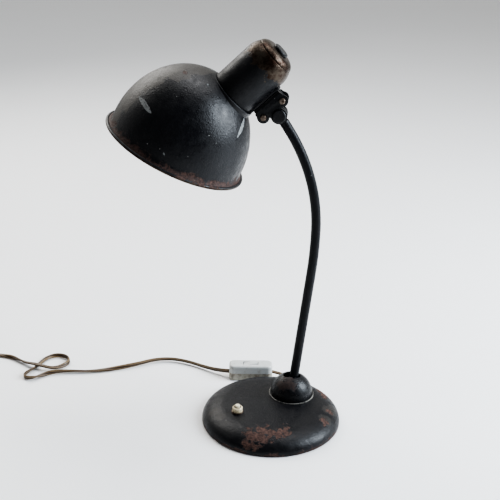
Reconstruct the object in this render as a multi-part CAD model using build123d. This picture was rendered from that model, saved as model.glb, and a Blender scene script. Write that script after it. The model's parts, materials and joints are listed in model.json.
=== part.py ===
from build123d import *
import os
from math import cos, pi, radians, sin, tan

os.makedirs("parts", exist_ok=True)

# Desk lamp on a round base: a curved arm on a ball dome, a ball knuckle and an asymmetric shade.
# Millimetres, +Z up, origin at the centre of the base's underside, the shade towards -X.

# Driving dimensions
base_r = 77.5
base_rim_h = 2.0
base_shoulder_w = 27.5
base_shoulder_h = 17.0
base_crown = 1.5
flat_r = 12.0
sheet = 1.2                     # steel sheet of the base cover
thin_sheet = 1.0                # steel sheet of the shade and the socket housing
pedestal_z = 20.9               # top of the seat that the dome turns on
joint = Vector(21.5, 24.7, 21.2)        # centre of the hemispherical dome
dome_r = 23.8
pivot_rise = 7.5                # arm pivot above the dome's centre, along the arm
arm_r = 5.2
arm_bore_r = 4.2
lean = 6.2                      # the arm's lower half leans back, degrees
arm_straight = 152.5
slow_bend_r = 460.0
fast_bend_r = 198.0
fast_bend_turn = 33.0
arm_top_run = 20.0
knuckle_r = 8.5
button_at = Vector(-36.0, -21.7, 0)
shade_at = Vector(-110.2, 24.7, 305.7)  # centre of the shade's opening
shade_tilt = 25.3
shade_r = 73.0
shade_h = 83.5
shade_wall_z = 8.0
crown_turn = 83.0                # the bowl's oval stops here, at a small flat crown
bead_r = 1.8
opening_r = 78.1
neck_at = Vector(-49.2, 24.7, 367.3)    # where the housing's axis meets the top of the neck ring
neck_tilt = 46.2
neck_r = 27.7
housing_r = 25.4
cheek_gap = 6.5                 # half the space between the cheek plates
cheek_t = 2.0
screw_x, screw_z = 37.5, (7.0, 33.0)    # clamp screws, across and along the housing's axis
gap = 0.3                       # room between parts that move past each other
gland_angle, gland_heading = 68.0, 115.0
switch_at = Vector(-30.5, 89.5, 0)
switch_turn = 5.5
switch_l, switch_w, switch_h, switch_split = 52.0, 18.0, 19.5, 9.5
cord_r = 2.5
coil_at = Vector(-389.5, 86.5, 0)
coil_out, coil_in, coil_h = 37.0, 22.5, 11.0
plug_at = Vector(-418.0, 25.0, 0)


def save(name, *solids):
    shape = solids[0] if len(solids) == 1 else Compound(children=list(solids))
    export_step(shape, f"parts/{name}.step")


def spun(*edges):
    """A solid turned about Z from an outline in radius and height."""
    return revolve(Plane.XZ * make_face(list(edges)), Axis.Z)


def disc(r, z0, z1):
    return Pos(0, 0, z0) * extrude(Circle(r), z1 - z0)


def ring(r_out, r_in, z0, z1):
    return disc(r_out, z0, z1) - disc(r_in, z0 - 1, z1 + 1)


def rod(r, start, end):
    direction = Vector(*end) - Vector(*start)
    return Plane(Vector(*start), z_dir=direction) * extrude(Circle(r), direction.length)


def box(low, high):
    size = [b - a for a, b in zip(low, high)]
    return Pos(*[(a + b) / 2 for a, b in zip(low, high)]) * Box(*size)


def quarter_oval(centre, wide, high, spans=3, reach=90.0):
    """An ellipse's outline from its side towards its top, as circular arcs through its own points."""
    step = radians(reach) / spans

    def at(turn):
        return (centre[0] + wide * cos(turn), centre[1] + high * sin(turn))

    return [ThreePointArc(at(i * step), at((i + 0.5) * step), at((i + 1) * step)) for i in range(spans)]


# ---- base ----
top_r = base_r - base_shoulder_w
shoulder_top = base_rim_h + base_shoulder_h


def base_outline(inset, foot):
    """The cover's outline, drawn inwards by inset, down to foot."""
    wide, high = base_shoulder_w - inset, base_shoulder_h - inset
    crown = shoulder_top + base_crown - inset
    shoulder = quarter_oval((top_r, base_rim_h), wide, high)
    slope = Line((top_r, shoulder_top - inset), (flat_r, crown))
    return [
        Line((0, foot), (base_r - inset, foot)),
        Line((base_r - inset, foot), (base_r - inset, base_rim_h)),
        *shoulder, slope,
        Line((flat_r, crown), (0, crown)),
        Line((0, crown), (0, foot)),
    ]


cover_foot, plate_z, plate_t = 0.8, 1.5, 1.0
cover_full = Rot(0, 0, 130) * spun(*base_outline(0, cover_foot))
cover_void = Rot(0, 0, 130) * spun(*base_outline(sheet, cover_foot - 1))
joint_xy = Pos(joint.X, joint.Y, 0)
button_xy = Pos(button_at.X, button_at.Y, 0)
stem_r, stem_room = 5.0, 0.06
bush_r = 8.0
collar_r, button_r = 5.7, 2.9
switch_neck_r = 5.0

gland_w, gland_h, gland_l = 9.0, 5.4, 11.0
gland_at = Vector(base_r * cos(radians(gland_angle)), base_r * sin(radians(gland_angle)), 5.4)
gland_dir = Vector(cos(radians(gland_heading)), sin(radians(gland_heading)), 0)
gland_plane = Plane(gland_at, x_dir=(0, 0, 1), z_dir=gland_dir)
gland_out = 3.5
gland_body = extrude(RectangleRounded(gland_h, gland_w, 2.2), gland_l)
gland_body = gland_plane * (Pos(0, 0, gland_out - gland_l) * gland_body)
gland_slot = extrude(RectangleRounded(gland_h + 0.1, gland_w + 0.1, 2.2), 40)
gland_slot = gland_plane * (Pos(0, 0, -20) * gland_slot)
gland_bore = gland_plane * (Pos(0, 0, -20) * extrude(Circle(cord_r), 40))

cover = cover_full - cover_void - gland_slot
cover -= joint_xy * disc(bush_r, 0, 40)
cover -= button_xy * disc(switch_neck_r, 0, 40)
save("base_cover", cover)

weight_r, weight_top = 62.0, 14.0
weight = disc(weight_r, plate_z + plate_t, weight_top)
weight -= joint_xy * disc(16, 0, 30)
weight -= button_xy * disc(15, 0, 30)
weight -= gland_plane * (Pos(0, 0, -35) * extrude(Rectangle(30, 14), 60))
bolt_circle = 45.0
bolt_spots = [Pos(bolt_circle * cos(radians(a)), bolt_circle * sin(radians(a)), 0) for a in (110, 255, 345)]
for spot in bolt_spots:
    weight -= spot * disc(2.1, 0, 30)
save("base_weight", chamfer(weight.edges().filter_by(GeomType.CIRCLE).sort_by(SortBy.RADIUS)[-1], 1.5))

plate = disc(base_r - sheet - 0.3, plate_z, plate_z + plate_t)
for spot in bolt_spots:
    plate -= spot * disc(2.1, 0, 30)
save("base_plate", plate)
felt = disc(70, 0, plate_z)
for spot in bolt_spots:
    felt -= spot * disc(4.2, -1, 10)
save("base_felt", felt)
save("base_screws", *[
    spot * (disc(4, 0.2, plate_z) + disc(2, plate_z, 12) - box((-4, -0.4, 0), (4, 0.4, 0.9)))
    for spot in bolt_spots])

dome_flange = joint_xy * ring(dome_r + 1.7, bush_r, 12, pedestal_z) - cover_full
save("dome_seat", dome_flange)
save("swivel_bush", joint_xy * ring(bush_r, stem_r + stem_room, 15.2, pedestal_z))

# push switch, its cream collar above the cover and its works below
cover_z = shoulder_top + base_crown * 0.3
collar_foot = cover_z + 0.2
save("switch_foot_ring", button_xy * ring(6.6, switch_neck_r, 15, collar_foot + 0.7) - cover_full)
collar = ring(collar_r, button_r + 0.05, collar_foot + 0.7, collar_foot + 6.2)
collar = chamfer(collar.edges().group_by(Axis.Z)[-1].sort_by(SortBy.RADIUS)[-1], 0.9)
collar += ring(switch_neck_r - 0.05, button_r + 0.05, 13.4, collar_foot + 0.7)
save("switch_collar", button_xy * collar)
switch_box = box((-8, -10, 3.2), (8, 10, 13.4)) - disc(button_r + 0.3, 6.8, 14)
switch_corners = switch_box.edges().filter_by(Axis.Z).group_by(SortBy.LENGTH)[-1]
save("switch_body", button_xy * fillet(switch_corners, 1.5))
nut = extrude(RegularPolygon(7.5, 6), 1.8) - disc(switch_neck_r, -1, 3)
save("switch_nut", button_xy * (Pos(0, 0, 15.0) * nut))
button = disc(button_r, 9.5, collar_foot + 8.6)
button = fillet(button.edges().group_by(Axis.Z)[-1], 0.8)
save("push_button", button_xy * button)

# ---- dome joint ----
joint_pos = Pos(*joint)
dome = joint_pos * (Sphere(dome_r) - Sphere(dome_r - 1.5))
dome -= box((-100, -100, -20), (150, 150, pedestal_z + 0.3))
pivot = joint + Vector(sin(radians(lean)), 0, cos(radians(lean))) * pivot_rise
slot_front, slot_back, slot_half = 10.6, 9.0, 5.6
slot = extrude(SlotOverall(slot_front + slot_back, 2 * slot_half), 30)
dome -= Pos(pivot.X + (slot_back - slot_front) / 2, joint.Y, pivot.Z + 2) * slot
save("joint_dome", dome)

yoke_floor = (pedestal_z + 0.3, 23.2)
ear_in, ear_t, pin_r = 10.0, 3.0, 2.5
yoke = joint_xy * disc(17.5, *yoke_floor)
for side in (-1, 1):
    y_in, y_out = sorted((side * ear_in, side * (ear_in + ear_t)))
    ear = box((pivot.X - 6, joint.Y + y_in, yoke_floor[1]), (pivot.X + 6, joint.Y + y_out, pivot.Z))
    ear += rod(6, (pivot.X, joint.Y + y_in, pivot.Z), (pivot.X, joint.Y + y_out, pivot.Z))
    yoke += ear
yoke += joint_xy * ring(stem_r, 3.6, 1 + plate_z + plate_t, yoke_floor[0])
yoke -= joint_xy * disc(3.6, 0, 30)
yoke -= rod(pin_r, (pivot.X, joint.Y - 20, pivot.Z), (pivot.X, joint.Y + 20, pivot.Z))
save("pivot_yoke", yoke)
save("pivot_pin", rod(pin_r, (pivot.X, joint.Y - 14, pivot.Z), (pivot.X, joint.Y + 14, pivot.Z)))
save("swivel_spring_washer", joint_xy * ring(8.5, stem_r, 13.9, 14.9))
stem_nut = extrude(RegularPolygon(8.5, 6), 5) - disc(stem_r, -1, 8)
save("swivel_nut", joint_xy * (Pos(0, 0, 8.6) * stem_nut))

# ---- arm ----
up = Vector(sin(radians(lean)), 0, cos(radians(lean)))
run_top = joint + up * arm_straight
slow_top = run_top + Vector(slow_bend_r * (1 - cos(radians(lean))), 0, slow_bend_r * sin(radians(lean)))
half = fast_bend_turn / 2
fast_mid = slow_top + Vector(-fast_bend_r * (1 - cos(radians(half))), 0, fast_bend_r * sin(radians(half)))
fast_top = slow_top + Vector(
    -fast_bend_r * (1 - cos(radians(fast_bend_turn))), 0, fast_bend_r * sin(radians(fast_bend_turn)))
arm_end_dir = Vector(-sin(radians(fast_bend_turn)), 0, cos(radians(fast_bend_turn)))
knuckle = fast_top + arm_end_dir * arm_top_run
slow_mid = run_top + Vector(
    slow_bend_r * (cos(radians(lean / 2)) - cos(radians(lean))), 0,
    slow_bend_r * (sin(radians(lean)) - sin(radians(lean / 2))))
hub_r = 9.5
tube_foot = pivot + up * 4
tube_end = knuckle - arm_end_dir * 9.0
path = Wire([
    Line(tube_foot, run_top),
    ThreePointArc(run_top, slow_mid, slow_top),
    ThreePointArc(slow_top, fast_mid, fast_top),
    Line(fast_top, tube_end),
])
tube = sweep(Plane(tube_foot, z_dir=up) * (Circle(arm_r) - Circle(arm_bore_r)), path=path)
save("arm_tube", tube)
hub = Pos(*pivot) * Sphere(hub_r) - Plane(pivot, z_dir=-up) * extrude(Circle(20), 20)
hub += rod(5.1, (pivot.X, joint.Y - hub_r, pivot.Z), (pivot.X, joint.Y + hub_r, pivot.Z))
hub -= rod(pin_r + 0.05, (pivot.X, joint.Y - 20, pivot.Z), (pivot.X, joint.Y + 20, pivot.Z))
hub -= Plane(tube_foot, z_dir=up) * extrude(Circle(arm_r), 20)
save("arm_hub", hub)

# ---- knuckle ----
stem_w, stem_l, ball_flat = arm_bore_r - 0.05, 24.0, 2.0
ball_foot = -(knuckle_r ** 2 - stem_w ** 2) ** 0.5
ball_top = (knuckle_r ** 2 - ball_flat ** 2) ** 0.5
ball = spun(
    Line((0, -stem_l), (stem_w, -stem_l)),
    Line((stem_w, -stem_l), (stem_w, ball_foot)),
    ThreePointArc((stem_w, ball_foot), (knuckle_r, 0), (ball_flat, ball_top)),
    Line((ball_flat, ball_top), (0, ball_top)),
    Line((0, ball_top), (0, -stem_l)),
)
save("knuckle_ball", Plane(knuckle, z_dir=arm_end_dir) * ball)

# ---- head: pieces drawn round the housing's axis, X towards the arm, Z towards the cap ----
axis = Vector(sin(radians(neck_tilt)), 0, cos(radians(neck_tilt)))
across = Vector(cos(radians(neck_tilt)), 0, -sin(radians(neck_tilt)))
head = Plane(neck_at, x_dir=across, z_dir=axis)
offset = knuckle - neck_at
knuckle_x, knuckle_z = offset.dot(across), offset.dot(axis)

housing_foot, housing_straight, seam_z, seam_r = -9.0, 42.0, 57.0, 21.3
housing = spun(
    Line((housing_r - thin_sheet, housing_foot), (housing_r, housing_foot)),
    Line((housing_r, housing_foot), (housing_r, housing_straight)),
    ThreePointArc((housing_r, housing_straight), (24.55, 50.2), (seam_r, seam_z)),
    Line((seam_r, seam_z), (seam_r - thin_sheet, seam_z)),
    ThreePointArc((seam_r - thin_sheet, seam_z), (23.55, 50.0), (housing_r - thin_sheet, housing_straight)),
    Line((housing_r - thin_sheet, housing_straight), (housing_r - thin_sheet, housing_foot)),
)
rivet_z = (3.0, 36.5)
rivet_holes = [rod(1.2, (20, 0, z), (30, 0, z)) for z in rivet_z]
for hole in rivet_holes:
    housing -= hole
save("socket_housing", head * housing)

crown_z, crown_r = 63.4, 12.0
cap = spun(
    Line((19.0, 53.5), (19.9, 53.5)),
    Line((19.9, 53.5), (19.9, seam_z + 0.3)),
    Line((19.9, seam_z + 0.3), (seam_r, seam_z + 0.3)),
    Line((seam_r, seam_z + 0.3), (seam_r, seam_z + 0.9)),
    ThreePointArc((seam_r, seam_z + 0.9), (17.9, 61.6), (crown_r, crown_z)),
    Line((crown_r, crown_z), (3, crown_z)),
    Line((3, crown_z), (3, crown_z - 1)),
    Line((3, crown_z - 1), (crown_r, crown_z - 1)),
    ThreePointArc((crown_r, crown_z - 1), (16.6, 60.6), (19.0, 57.6)),
    Line((19.0, 57.6), (19.0, 53.5)),
)
save("housing_cap", head * cap)
knob = disc(8.6, crown_z, crown_z + 3.0)
knob = fillet(knob.edges().group_by(Axis.Z)[-1], 1.4)
knob -= disc(3, crown_z - 1, crown_z + 1.5)
save("cap_knob", head * knob)

# lamp holder on its rod
rod_top, holder_top, holder_foot = crown_z + 1.4, 41.0, -3.5
save("holder_rod", head * ring(3, 2, holder_top - 6, rod_top))
sleeve_r, sleeve_t = 14.2, 0.5
holder = disc(19.5, holder_foot, 24) + disc(15.0, 24, holder_top)
holder = chamfer(holder.edges().group_by(Axis.Z)[-1], 2.5)
holder -= disc(sleeve_r, holder_foot - 1, 22)
holder -= disc(3, holder_top - 6, holder_top + 1)
save("lamp_holder", head * holder)
sleeve = ring(sleeve_r, sleeve_r - sleeve_t, holder_foot + 0.5, 22)
save("holder_thread_sleeve", head * sleeve)
contact = box((-4, -2.5, 21.2), (4, 2.5, 22)) + disc(2.5, 19.6, 21.2)
save("holder_contact", head * contact)
support = ring(housing_r - thin_sheet - 0.1, 19.5, 10, 12)
save("holder_support_ring", head * support)

# bulb
glass_r, glass_mid, glass_top = 27.5, -53.5, -5.0
side_z = glass_mid + 14.0
side_x = (glass_r ** 2 - 14.0 ** 2) ** 0.5
glass_low_x, glass_low_z = glass_r * cos(radians(20)), glass_mid - glass_r * sin(radians(20))
glass = spun(
    Line((0, glass_top), (12.0, glass_top)),
    Bezier((12.0, glass_top), (13.5, -17.0), (side_x - 14.0 * 0.35, side_z + side_x * 0.35), (side_x, side_z)),
    ThreePointArc((side_x, side_z), (glass_low_x, glass_low_z), (0, glass_mid - glass_r)),
    Line((0, glass_mid - glass_r), (0, glass_top)),
)
save("bulb_glass", head * glass)
bulb_cap = disc(13.2, glass_top, 15.5) + disc(4.5, 18.0, 19.6)
bulb_cap += Pos(0, 0, 15.5) * Cone(13.2, 6.0, 2.5, align=(Align.CENTER, Align.CENTER, Align.MIN))
save("bulb_cap", head * bulb_cap)

# knuckle bracket and cheek plates
web_foot, web_end = housing_r + 1.8, 41.0
web = box((web_foot, -cheek_gap, 3.5), (web_end, cheek_gap, 36.5))
web -= rod(knuckle_r + 1.2, (knuckle_x, -20, knuckle_z), (knuckle_x, 20, knuckle_z))
saddle = ring(web_foot + 0.2, housing_r, 0.5, 39) & box((20, -9, 0), (30, 9, 40))
bracket = saddle + web
for hole in rivet_holes:
    bracket -= hole
for z in screw_z:
    bracket -= rod(2.05, (screw_x, -30, z), (screw_x, 30, z))
bracket -= box((web_foot + 2.2, -1.8, 9), (web_end - 8.5, 20, 31))
save("head_bracket", head * bracket)
save("bracket_rivets", *[
    head * (rod(1.2, (housing_r - 1.8, 0, z), (web_foot + 0.2, 0, z))
            + rod(2.4, (housing_r - 2.6, 0, z), (housing_r - 1.3, 0, z)))
    for z in rivet_z])


def cheek(side):
    """A stamped plate with a dished boss over the ball."""
    outline = Pos(35.5, knuckle_z) * RectangleRounded(13.0, 35.0, 2.5)
    outline += [Pos(screw_x, z) * Circle(6.3) for z in screw_z]
    outline += Pos(knuckle_x, knuckle_z) * Circle(8.4)
    outline += Pos((knuckle_x + 36) / 2, knuckle_z) * Rectangle(knuckle_x - 36, 15.5)
    face = Plane((0, side * cheek_gap, 0), x_dir=(1, 0, 0), z_dir=(0, side, 0))
    plate_shape = outline if side < 0 else mirror(outline, Plane.XZ)
    body = face * extrude(plate_shape, cheek_t)
    boss_end = side * (cheek_gap + cheek_t + 1.9)
    boss = rod(7.2, (knuckle_x, side * cheek_gap, knuckle_z), (knuckle_x, boss_end, knuckle_z))
    far_edge = boss.edges().filter_by(GeomType.CIRCLE).sort_by(lambda e: abs(e.center().Y))[-1]
    body += fillet(far_edge, 1.6)
    body -= Pos(knuckle_x, 0, knuckle_z) * Sphere(knuckle_r + gap)
    for z in screw_z:
        body -= rod(2.05, (screw_x, -30, z), (screw_x, 30, z))
    return body


save("cheek_front", head * cheek(-1))
save("cheek_rear", head * cheek(1))


def clamp_screw(z):
    top = cheek_gap + cheek_t
    shank = rod(2.0, (screw_x, -top, z), (screw_x, top + 4.0, z))
    button_head = rod(3.3, (screw_x, -top, z), (screw_x, -top - 2.2, z))
    far_edge = button_head.edges().filter_by(GeomType.CIRCLE).sort_by(Axis.Y)[0]
    button_head = fillet(far_edge, 1.2)
    groove = Pos(screw_x, -top - 2.2, z) * Rot(0, 35, 0) * Box(10, 2.0, 0.9)
    return shank + button_head - groove


def clamp_nut(z):
    top = cheek_gap + cheek_t
    seat = Plane((screw_x, top, z), z_dir=(0, 1, 0))
    return seat * (extrude(RegularPolygon(4.0, 6), 3.0) - disc(2.0, -1, 4))


save("clamp_screws", *[head * clamp_screw(z) for z in screw_z])
save("clamp_nuts", *[head * clamp_nut(z) for z in screw_z])

# ---- shade, drawn round the axis of its opening ----
shade_axis = Vector(sin(radians(shade_tilt)), 0, cos(radians(shade_tilt)))
shade_back = Vector(cos(radians(shade_tilt)), 0, -sin(radians(shade_tilt)))
shade_plane = Plane(shade_at, x_dir=shade_back, z_dir=shade_axis)
bead_at = opening_r - bead_r


def shade_bowl(inset):
    wide, high = shade_r - inset, shade_h - inset
    crown_at, crown_h = wide * cos(radians(crown_turn)), shade_wall_z + high * sin(radians(crown_turn))
    return spun(
        *quarter_oval((0, shade_wall_z), wide, high, reach=crown_turn),
        Line((crown_at, crown_h), (0, crown_h)),
        Line((0, crown_h), (0, shade_wall_z)),
        Line((0, shade_wall_z), (wide, shade_wall_z)),
    )


flare = spun(
    Line((shade_r - thin_sheet, shade_wall_z), (shade_r, shade_wall_z)),
    ThreePointArc((shade_r, shade_wall_z), (shade_r + 0.7, 3.9), (bead_at, 0.6)),
    Line((bead_at, 0.6), (bead_at - 1.0, 0)),
    ThreePointArc((bead_at - 1.0, 0), (shade_r - 0.3, 3.6), (shade_r - thin_sheet, shade_wall_z)),
)
bead = revolve(Plane.XZ * (Pos(bead_at, 0) * Circle(bead_r)), Axis.Z)
shade = (shade_bowl(0) - shade_bowl(thin_sheet)) + (flare + bead)
neck_foot = -13.0
shade_solid = shade_plane * Rot(0, 0, 37) * shade - head * disc(neck_r, -40, 40)
save("shade", shade_solid)
neck_ring = ring(neck_r, housing_r + 0.1, neck_foot, 0)
neck_ring = fillet(neck_ring.edges().group_by(Axis.Z)[-1].sort_by(SortBy.RADIUS)[-1], 0.9)
save("neck_ring", head * neck_ring)
save("shade_ring", head * ring(30.5, housing_r + 0.1, neck_foot - 1.5, neck_foot))

# ---- cord ----
gland = gland_body - gland_bore
save("cord_gland", gland)


def cord_radii(points):
    """The arc at each corner of a route: as large as the two runs beside it allow."""
    radii = []
    for a, b, c in zip(points, points[1:], points[2:]):
        run_in, run_out = Vector(*b) - Vector(*a), Vector(*c) - Vector(*b)
        turn = radians(run_in.get_angle(run_out))
        radii.append(0.45 * min(run_in.length, run_out.length) / tan(turn / 2))
    return radii


def cord_tube(name, points):
    radii = cord_radii(points)
    route = FilletPolyline(*points, radius=radii)
    start = Vector(*points[1]) - Vector(*points[0])
    cord = sweep(Plane(Vector(*points[0]), z_dir=start) * Circle(cord_r), path=route)
    share = cord.volume / (pi * cord_r ** 2 * route.length)
    print(name, "length", round(route.length, 1), "volume share", round(share, 4))
    save(name, cord)


switch = Pos(switch_at.X, switch_at.Y, 0) * Rot(0, 0, switch_turn)


def on_switch(x, y, z):
    turn = radians(switch_turn)
    return (switch_at.X + x * cos(turn) - y * sin(turn), switch_at.Y + x * sin(turn) + y * cos(turn), z)


cord_z = 8.2
lead_start = gland_at + gland_dir * gland_out
lead_route = [
    tuple(lead_start),
    (24.6, 82.3, 4.3),
    (17.5, 88.0, 4.2),
    (8.0, 91.2, 6.0),
    on_switch(switch_l / 2, 0, cord_z),
]
cord_tube("cord_lead", lead_route)

run_route = [
    on_switch(-switch_l / 2, 0, cord_z),
    (-72, 92.5, 4.6), (-91, 103, 2.6), (-110, 112, 2.6), (-131, 117, 2.6), (-152, 113, 2.6),
    (-170, 101, 2.6), (-188, 90.5, 2.6), (-208, 82, 2.6), (-229, 76.5, 2.6), (-251, 73.5, 2.6),
    (-269, 69, 2.6), (-281, 60.5, 2.6), (-289.5, 52.5, 2.6), (-296.5, 50.2, 2.6), (-301.5, 54.5, 2.6),
    (-301.3, 61.5, 2.6), (-297, 71, 2.6), (-292.8, 81.5, 2.6), (-290.8, 93.5, 2.6), (-286, 105, 2.6),
    (-275, 111, 2.6), (-262, 107.5, 2.6), (-256, 97, 2.6), (-260.5, 86, 2.6), (-271.5, 77.5, 3.4),
    (-284.5, 75.8, 8.3), (-297, 80, 8.3), (-308, 87, 3.4), (-321, 95, 2.6), (-336, 101, 2.6),
    (-352, 104.5, 2.6), (-368, 107, 3.2),
]
cord_tube("cord_run", run_route)
coil = Pos(*coil_at) * ring(coil_out, coil_in, 0, coil_h)
coil = fillet(coil.edges().filter_by(GeomType.CIRCLE), 3.0)
save("cord_coil", coil)
tie_turn = radians(200)
tie = Pos(coil_at.X + 29.75 * cos(tie_turn), coil_at.Y + 29.75 * sin(tie_turn), 0) * Rot(0, 0, 200)
tie_band = box((-8.5, -2.5, 0), (8.5, 2.5, coil_h + 1)) - box((-7.5, -5, -1), (7.5, 5, coil_h + 0.02))
save("cord_tie", tie * tie_band)
tail_route = [(-418.0, 72.0, 5.5), (-419.4, 60.0, 5.5), (-418.0, 46.0, 6.5)]
cord_tube("cord_tail", tail_route)

# inline switch: two shells, two screws and a rocker
rocker_hole = box((-9.2, -3.4, switch_h - 6), (9.2, 3.4, switch_h + 1))
shell = extrude(RectangleRounded(switch_l, switch_w, 6.0), switch_h)
shell = fillet(shell.edges().group_by(Axis.Z)[-1], 2.8)
shell = fillet(shell.edges().group_by(Axis.Z)[0], 1.6)
cord_way = rod(cord_r, (-switch_l, 0, cord_z), (switch_l, 0, cord_z))
shell_inner = extrude(RectangleRounded(switch_l - 4, switch_w - 4, 4.0), switch_h - 4.5)
shell = shell - Pos(0, 0, 2) * shell_inner - cord_way
lower = shell & box((-60, -30, -1), (60, 30, switch_split))
upper = (shell & box((-60, -30, switch_split + 0.05), (60, 30, 40))) - rocker_hole
screw_spots = (-20.0, 20.0)
for x in screw_spots:
    lower += Pos(x, 5.2, 0) * disc(2.6, 1.5, switch_split)
    upper += Pos(x, 5.2, 0) * disc(2.6, switch_split + 0.05, switch_h - 2)
    lower -= Pos(x, 5.2, 0) * disc(1.3, -1, 20)
    upper -= Pos(x, 5.2, 0) * disc(1.3, -1, switch_h - 4)
    lower -= Pos(x, 5.2, 0) * disc(2.4, -1, 1.4)
rocker_pin_z = switch_h - 2.2
upper -= rod(1.25, (0, -4.9, rocker_pin_z), (0, 4.9, rocker_pin_z))
save("inline_switch_lower", switch * lower)
save("inline_switch_upper", switch * upper)
save("inline_switch_screws", *[
    switch * Pos(x, 5.2, 0) * (disc(2.3, 0.3, 1.4) + disc(1.3, 1.4, switch_h - 4.2)) for x in screw_spots])
rocker = rod(1.2, (0, -4.6, rocker_pin_z), (0, 4.6, rocker_pin_z))
rocker_body = extrude(Plane.XZ * make_face(list(Polyline(
    (-8.6, switch_h - 0.9), (0, switch_h + 0.3), (8.6, switch_h + 1.2), (8.3, switch_h - 2.6),
    (0, switch_h - 5.2), (-8.3, switch_h - 3.6), close=True).edges())), 3.1, both=True)
rocker += rocker_body
save("inline_rocker", switch * rocker)

# plug: two pins at the far end, towards -Y
plug_dir = Plane(plug_at + Vector(0, 0, 6.5), x_dir=(1, 0, 0), z_dir=(0, 1, 0))
plug_body = loft([
    plug_dir * (Pos(0, 0, -16) * RectangleRounded(24, 12.6, 5.5)),
    plug_dir * (Pos(0, 0, 4) * RectangleRounded(22, 12.4, 5.5)),
    plug_dir * (Pos(0, 0, 21) * RectangleRounded(10, 9, 4.2)),
])
pins = [
    rod(2.0, (plug_at.X + side * 9.5, plug_at.Y - 35, 6.5), (plug_at.X + side * 9.5, plug_at.Y - 6, 6.5))
    for side in (-1, 1)]
for pin in pins:
    plug_body -= pin
plug_body -= rod(1.5, (plug_at.X, plug_at.Y - 4, 9), (plug_at.X, plug_at.Y - 4, 20))
save("plug_body", plug_body)
save("plug_pins", *pins)
save("plug_screw", rod(1.5, (plug_at.X, plug_at.Y - 4, 9), (plug_at.X, plug_at.Y - 4, 12.4)))
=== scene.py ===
import json
from math import cos, pi, radians, sin, tau

import bmesh
import bpy
from mathutils import Matrix, Vector


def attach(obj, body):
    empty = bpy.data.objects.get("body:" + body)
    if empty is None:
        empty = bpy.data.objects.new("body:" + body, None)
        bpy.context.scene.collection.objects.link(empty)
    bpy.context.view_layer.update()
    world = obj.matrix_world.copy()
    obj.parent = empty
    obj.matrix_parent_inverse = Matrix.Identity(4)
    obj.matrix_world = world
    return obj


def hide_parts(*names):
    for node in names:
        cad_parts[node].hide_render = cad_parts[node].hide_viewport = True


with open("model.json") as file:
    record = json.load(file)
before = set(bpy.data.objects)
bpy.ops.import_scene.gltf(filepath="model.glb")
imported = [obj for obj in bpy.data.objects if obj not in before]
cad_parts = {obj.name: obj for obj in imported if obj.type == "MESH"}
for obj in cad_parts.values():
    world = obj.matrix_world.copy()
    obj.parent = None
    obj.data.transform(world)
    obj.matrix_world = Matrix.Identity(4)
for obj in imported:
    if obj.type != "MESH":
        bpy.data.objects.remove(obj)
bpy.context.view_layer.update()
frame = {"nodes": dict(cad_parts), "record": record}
print("frame loaded:", len(frame["nodes"]), "nodes")

mm = 0.001


camera = {
    "place": (47.1, -971.8, 613.9),
    "pitch": 22.74,       # degrees down
    "heading": 4.39,      # degrees left of +Y
    "roll": 1.22,
    "lens": 72.0,
    "sensor": 36.0,
    "nearest": 0.05,      # metres
}


def makeCamera():
    data = bpy.data.cameras.new("camera")
    data.lens, data.sensor_width = camera["lens"], camera["sensor"]
    data.clip_start = camera["nearest"]
    eye = bpy.data.objects.new("camera", data)
    bpy.context.scene.collection.objects.link(eye)
    turn = Matrix.Rotation(radians(camera["heading"]), 4, "Z")
    tip = Matrix.Rotation(radians(90 - camera["pitch"]), 4, "X")
    roll = Matrix.Rotation(radians(camera["roll"]), 4, "Z")
    eye.matrix_world = Matrix.Translation(Vector(camera["place"]) * mm) @ turn @ tip @ roll
    bpy.context.scene.camera = eye
    print("camera placed")


lights = {                # place, point it faces, width and height in metres, watts, colour
    "window": ((1.25, 0.0, 0.85), (-0.05, 0.0, 0.2), (0.85, 1.0), 35.0, (0.84, 0.92, 1.0)),
    "wallGlow": ((-0.85, 0.95, 1.05), (-0.05, 0.0, 0.3), (1.0, 0.7), 10.0, (1.0, 0.98, 0.94)),
    "ceiling": ((0.2, 0.5, 1.9), (0.0, 0.0, 0.0), (1.2, 0.8), 14.0, (0.98, 0.98, 1.0)),
}

room = {
    "front": (0.17, 0.175, 0.185),
    "behind": (0.66, 0.66, 0.645),
    "change": (-0.5, 0.75),      # where front turns into behind, along Y
}


def makeLights():
    for name, (place, target, size, watts, tint) in lights.items():
        data = bpy.data.lights.new(name, "AREA")
        data.shape = "RECTANGLE"
        data.size, data.size_y = size
        data.energy, data.color = watts, tint
        lamp = bpy.data.objects.new(name, data)
        bpy.context.scene.collection.objects.link(lamp)
        lamp.location = place
        lamp.rotation_euler = (Vector(target) - Vector(place)).to_track_quat("-Z", "Y").to_euler()
        lamp.visible_camera = False
    world = bpy.data.worlds.new("room")
    bpy.context.scene.world = world
    world.use_nodes = True
    tree = world.node_tree
    parts = nodeIn(tree, "ShaderNodeSeparateXYZ")
    wire(tree, nodeIn(tree, "ShaderNodeTexCoord").outputs["Generated"], parts.inputs[0])
    behind = between(tree, parts.outputs["Y"], *room["change"])
    colour = mixColour(tree, behind, room["front"], room["behind"])
    wire(tree, colour, tree.nodes["Background"].inputs["Color"])
    bpy.context.scene.view_settings.view_transform = "AgX"
    bpy.context.scene.view_settings.look = "AgX - High Contrast"
    print("room lit by", len(lights), "lamps")


def nodeIn(tree, kind, **values):
    node = tree.nodes.new(kind)
    for key, value in values.items():
        if key in node.inputs:
            node.inputs[key].default_value = value
        else:
            setattr(node, key, value)
    return node


def wire(tree, source, target):
    tree.links.new(source, target)


def calc(tree, operation, first, second=0.0, clamp=False):
    node = nodeIn(tree, "ShaderNodeMath", operation=operation, use_clamp=clamp)
    for socket, value in zip(node.inputs, (first, second)):
        if isinstance(value, (int, float)):
            socket.default_value = value
        else:
            wire(tree, value, socket)
    return node.outputs[0]


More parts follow.
